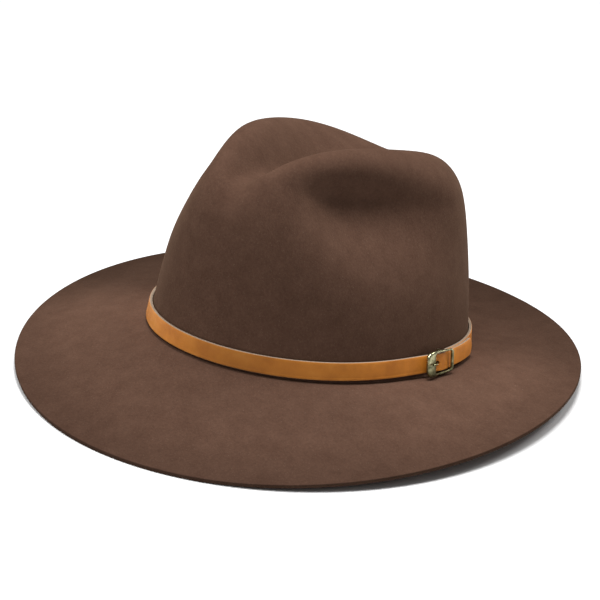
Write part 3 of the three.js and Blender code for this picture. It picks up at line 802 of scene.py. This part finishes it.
LUG_AROUND = 24
# How far the brass shifts towards its pale end at the frame's highest place and towards its dark
# end at the lowest, so that it is paler towards the top and darker towards the bottom.
PALER_HIGH_UP = 0.17


def on_the_buckle(points):
    """From the buckle's own frame, x to the back, y up and z out, to its place on the hat."""
    middle, up, out = wall_frame(np.array([BUCKLE_ANGLE]))
    axes = np.concatenate([np.cross(up, out), up, out])
    return on_the_table(middle + np.asarray(points) @ axes)


def rounded_outline(corners, radii):
    """A four-cornered outline, each corner rounded by its own lengths before and after it."""
    points = []
    for k in range(4):
        corner = np.array(corners[k])
        before = unit(np.array(corners[k - 1]) - corner) * radii[k][0]
        after_corner = np.array(corners[(k + 1) % 4])
        after = unit(after_corner - corner) * radii[k][1]
        for t in np.linspace(0, 1, CORNER_POINTS):
            points.append(corner + before * (1 - t) ** 2 + after * t**2)
        next_start = after_corner - unit(after_corner - corner) * radii[(k + 1) % 4][0]
        for t in np.linspace(0, 1, SIDE_POINTS)[1:-1]:
            points.append((corner + after) * (1 - t) + next_start * t)
    return np.array(points)


def make_frame_ring():
    """The frame as one domed ring between its outer and inner outlines."""
    half = FRAME["length"] / 2
    front = FRAME["height_at_front"] / 2
    back = FRAME["height_at_back"] / 2
    along, up = FRAME["front_corner_along"], FRAME["front_corner_up"]
    small = (FRAME["back_corner"], FRAME["back_corner"])
    outer = rounded_outline(
        [(-half, -front), (half, -back), (half, back), (-half, front)],
        [(up, along), small, small, (along, up)],
    )
    left = FRAME["front_side"] - half
    right = half - FRAME["back_side"]
    tall = FRAME["opening_at_front"] / 2
    low = FRAME["opening_at_back"] / 2
    corner = FRAME["opening_corner"]
    inner = rounded_outline(
        [(left, -tall), (right, -low), (right, low), (left, tall)], [(corner, corner)] * 4
    )
    middle = (outer + inner) / 2
    reach = (outer - inner) / 2
    side = FRAME["front_side"]
    to_front = smoothstep(-middle[:, 0], half - 1.5 * side, half - side / 2)
    thickness = FRAME["thickness"] + (FRAME["front_thickness"] - FRAME["thickness"]) * to_front
    hollow = bell(middle[:, 1], PRONG_REST["half_width"]) * (middle[:, 0] < left)
    rest = PRONG_REST["depth"] * hollow
    rings = []
    for turn in np.linspace(0, 2 * math.pi, RING_AROUND, endpoint=False):
        wide = math.copysign(abs(math.cos(turn)) ** CAST_SQUARENESS, math.cos(turn))
        high = math.copysign(abs(math.sin(turn)) ** CAST_SQUARENESS, math.sin(turn))
        flat = middle + reach * wide
        z = thickness / 2 * (1 + high) - rest * max(high, 0)
        rings.append(np.column_stack([flat, z]))
    points = np.array(rings).transpose(1, 0, 2)
    c, s = math.cos(FRAME["tilt"]), math.sin(FRAME["tilt"])
    x, y, z = np.moveaxis(points, -1, 0)
    return np.stack([c * x - s * z, y, FRAME["lift"] + s * x + c * z], axis=-1)


def closed_net(rows, around):
    """Four-sided faces over a ring of rows that each go all the way round."""
    here = np.arange(around)
    after = np.roll(here, -1)
    faces = []
    for row in range(rows):
        low = row * around
        high = (row + 1) % rows * around
        faces += np.stack([low + here, high + here, high + after, low + after], axis=1).tolist()
    return faces


def make_bar(reach):
    """The bar along y, as far each way as its reach, with rounded ends."""
    turns = 2 * math.pi * np.arange(BAR_AROUND) / BAR_AROUND
    fullness = np.sin(np.radians([0, 30, 60, 90, 90, 60, 30, 0]))
    ends = np.repeat([-1, 1], 4)
    points = []
    for full, end in zip(fullness, ends):
        y = end * (reach - 0.5 * BAR["radius"] * (1 - full))
        radius = BAR["radius"] * (0.4 + 0.6 * full)
        flat = np.full(BAR_AROUND, y)
        points.append(np.column_stack([radius * np.sin(turns), flat, radius * np.cos(turns)]))
    return np.concatenate(points), tube_faces(len(points), BAR_AROUND)


def make_lug(low, high):
    """A lug as a block with softened edges, between two opposite corners."""
    middle = (np.array(low) + np.array(high)) / 2
    half = (np.array(high) - np.array(low)) / 2
    points = []
    turns = 2 * math.pi * np.arange(LUG_AROUND) / LUG_AROUND
    wide = np.sign(np.cos(turns)) * np.abs(np.cos(turns)) ** LUG_SQUARENESS
    deep = np.sign(np.sin(turns)) * np.abs(np.sin(turns)) ** LUG_SQUARENESS
    for lift in np.radians([-70, -45, -20, 0, 20, 45, 70]):
        flat = abs(math.cos(lift)) ** LUG_SQUARENESS
        z = math.copysign(abs(math.sin(lift)) ** LUG_SQUARENESS, lift)
        points.append(np.column_stack([wide * flat, deep * flat, np.full(LUG_AROUND, z)]))
    return middle + half * np.concatenate(points), tube_faces(len(points), LUG_AROUND)


def make_buckle_frame():
    """The ring, the bar and its two lugs together."""
    ring = make_frame_ring()
    parts = [(ring.reshape(-1, 3), closed_net(*ring.shape[:2]))]
    bar, bar_faces = make_bar(LUG["outer"] - BAR_IN_LUG)
    parts.append((bar + [BAR["x"], 0, BAR_OUT], bar_faces))
    bottom = BAR_OUT - BAR["radius"] - LUG["below_bar"]
    top = FRAME["lift"] + LUG["into_frame"]
    x = (BAR["x"] - LUG["length"] / 2, BAR["x"] + LUG["length"] / 2)
    for y in ((-LUG["outer"], -LUG["inner"]), (LUG["inner"], LUG["outer"])):
        parts.append(make_lug((x[0], y[0], bottom), (x[1], y[1], top)))
    points = []
    faces = []
    for part, part_faces in parts:
        faces += [[len(points) + k for k in face] for face in part_faces]
        points += part.tolist()
    return on_the_buckle(points), faces


def brass_material(name, bright):
    """Antique brass: greenish gold, duller low down and in its patches of patina, finely pitted."""
    material, tree, shader = new_material(name, (0.4, 0.37, 0.22, 1), 0.35)
    shader.inputs["Metallic"].default_value = 1.0
    place = add_node(tree, "ShaderNodeTexCoord").outputs["Object"]
    patina = add_node(tree, "ShaderNodeTexNoise", Scale=260.0, Detail=5.0, Roughness=0.65)
    pits = add_node(tree, "ShaderNodeTexNoise", Scale=2600.0, Detail=3.0, Roughness=0.6)
    for texture in (patina, pits):
        wire(tree, place, texture.inputs["Vector"])
    # A shift by height, paler towards the top of the frame and darker towards its bottom, is added
    # to the patina noise.
    bottom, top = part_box("buckle_frame")
    height = tree.nodes.new("ShaderNodeSeparateXYZ")
    wire(tree, place, height.inputs["Vector"])
    height_shift = add_node(tree, "ShaderNodeMapRange", From_Min=bottom[2], From_Max=top[2])
    height_shift.inputs["To Min"].default_value = -PALER_HIGH_UP
    height_shift.inputs["To Max"].default_value = PALER_HIGH_UP
    wire(tree, height.outputs["Z"], height_shift.inputs["Value"])
    patina_and_height = tree.nodes.new("ShaderNodeMath")
    wire(tree, patina.outputs["Fac"], patina_and_height.inputs[0])
    wire(tree, height_shift.outputs["Result"], patina_and_height.inputs[1])
    dark = tuple(v * bright for v in (0.075, 0.075, 0.034))
    middle = tuple(v * bright for v in (0.26, 0.25, 0.135))
    pale = tuple(v * bright for v in (0.60, 0.575, 0.35))
    colours = colour_ramp(tree, [(0.25, dark), (0.5, middle), (0.75, pale)])
    wire(tree, patina_and_height.outputs["Value"], colours.inputs["Fac"])
    wire(tree, colours.outputs["Color"], shader.inputs["Base Color"])
    gloss = add_node(tree, "ShaderNodeMapRange", From_Min=0.3, From_Max=0.7)
    gloss.inputs["To Min"].default_value = 0.44
    gloss.inputs["To Max"].default_value = 0.22
    wire(tree, patina_and_height.outputs["Value"], gloss.inputs["Value"])
    wire(tree, gloss.outputs["Result"], shader.inputs["Roughness"])
    bump = add_node(tree, "ShaderNodeBump", Strength=0.25, Distance=0.0001)
    wire(tree, pits.outputs["Fac"], bump.inputs["Height"])
    wire(tree, bump.outputs["Normal"], shader.inputs["Normal"])
    return material


antique_brass = brass_material("antique_brass", 1.0)
buckle = new_object("brass_buckle_frame", *make_buckle_frame(), antique_brass)
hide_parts("buckle_frame")
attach(buckle, "root")


# Buckle prong. A short brass wire hooked round the bar. It comes up through a hole in the strap's
# tail and its flattened tip rests in a hollow on the frame's broad side.
PRONG_RADIUS = 0.00045
HOLE_CLEARANCE = 0.0004
PRONG_BENDS = [
    {"x": 0.0006, "z": 0.0035},
    {"x": -0.0018, "z": 0.00505},
    {"x": -0.004, "z": 0.00705},
    {"x": -0.0056, "z": 0.00765},
    {"x": -0.0082, "z": 0.0076},
]
PRONG_AROUND = 14
PRONG_STEPS = 6
# The last part of the wire is drawn down over this length and widens sideways as it thins.
PRONG_DRAWN_LENGTH = 0.003
PRONG_TIP = {"share": 0.7, "widening": 0.3, "end_length": 0.5, "end_share": 0.55}


def prong_line():
    """Middle of the wire: smooth through the hook round the bar, the rise and the tip."""
    hook = BAR["radius"] + BAR["clearance"] + PRONG_RADIUS
    through = []
    for turn in np.radians(range(170, 451, 40)):
        through.append((BAR["x"] + hook * math.cos(turn), BAR_OUT + hook * math.sin(turn)))
    through += [(bend["x"], bend["z"]) for bend in PRONG_BENDS]
    ends = np.array([through[0], *through, through[-1]])
    line = []
    for i in range(len(through) - 1):
        a, b, c, d = ends[i : i + 4]
        for t in np.linspace(0, 1, PRONG_STEPS, endpoint=False):
            bend = (2 * a - 5 * b + 4 * c - d) * t**2 + (3 * b - a - 3 * c + d) * t**3
            line.append((2 * b + (c - a) * t + bend) / 2)
    line.append(ends[-1])
    return np.array(line)


def make_prong(radius, tip):
    """A wire along the prong's line, its last part drawn down to a share of its radius."""
    line = prong_line()
    along = unit(np.gradient(line, axis=0))
    side = np.column_stack([along[:, 1], -along[:, 0]])
    lengths = np.concatenate([[0], np.cumsum(np.linalg.norm(np.diff(line, axis=0), axis=-1))])
    left = lengths[-1] - lengths
    taper = tip + (1 - tip) * smoothstep(left, 0, PRONG_DRAWN_LENGTH)
    turns = 2 * math.pi * np.arange(PRONG_AROUND) / PRONG_AROUND
    rings = []
    for (x, z), (out_x, out_z), share in zip(line, side, taper):
        reach = radius * share * np.cos(turns)
        y = radius * (1 + (1 - share) * PRONG_TIP["widening"]) * np.sin(turns)
        rings.append(np.column_stack([x + out_x * reach, y, z + out_z * reach]))
    x, z = line[-1] + along[-1] * radius * PRONG_TIP["end_length"]
    last_ring = rings[-1] - [line[-1][0], 0, line[-1][1]]
    rings.append(np.array([x, 0, z]) + last_ring * PRONG_TIP["end_share"])
    return on_the_buckle(np.concatenate(rings)), tube_faces(len(rings), PRONG_AROUND)


def punch_hole(leather, cutter):
    """Cuts the cutter's shape out of the leather and takes the cutter away."""
    cut = leather.modifiers.new("hole", "BOOLEAN")
    cut.operation = "DIFFERENCE"
    cut.solver = "EXACT"
    cut.object = cutter
    uncut = leather.data
    depsgraph = bpy.context.evaluated_depsgraph_get()
    leather.data = bpy.data.meshes.new_from_object(leather.evaluated_get(depsgraph))
    leather.modifiers.remove(cut)
    bpy.data.meshes.remove(uncut)
    shape = cutter.data
    bpy.data.objects.remove(cutter)
    bpy.data.meshes.remove(shape)


punch_points, punch_faces = make_prong(PRONG_RADIUS + HOLE_CLEARANCE, 1.0)
punch = new_object("hole_punch", punch_points, punch_faces, strap.data.materials[0])
punch_hole(strap, punch)
prong_points, prong_faces = make_prong(PRONG_RADIUS, PRONG_TIP["share"])
pale_brass = brass_material("pale_brass", 1.35)
prong = new_object("brass_buckle_prong", prong_points, prong_faces, pale_brass)
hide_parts("buckle_prong")
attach(prong, "root")
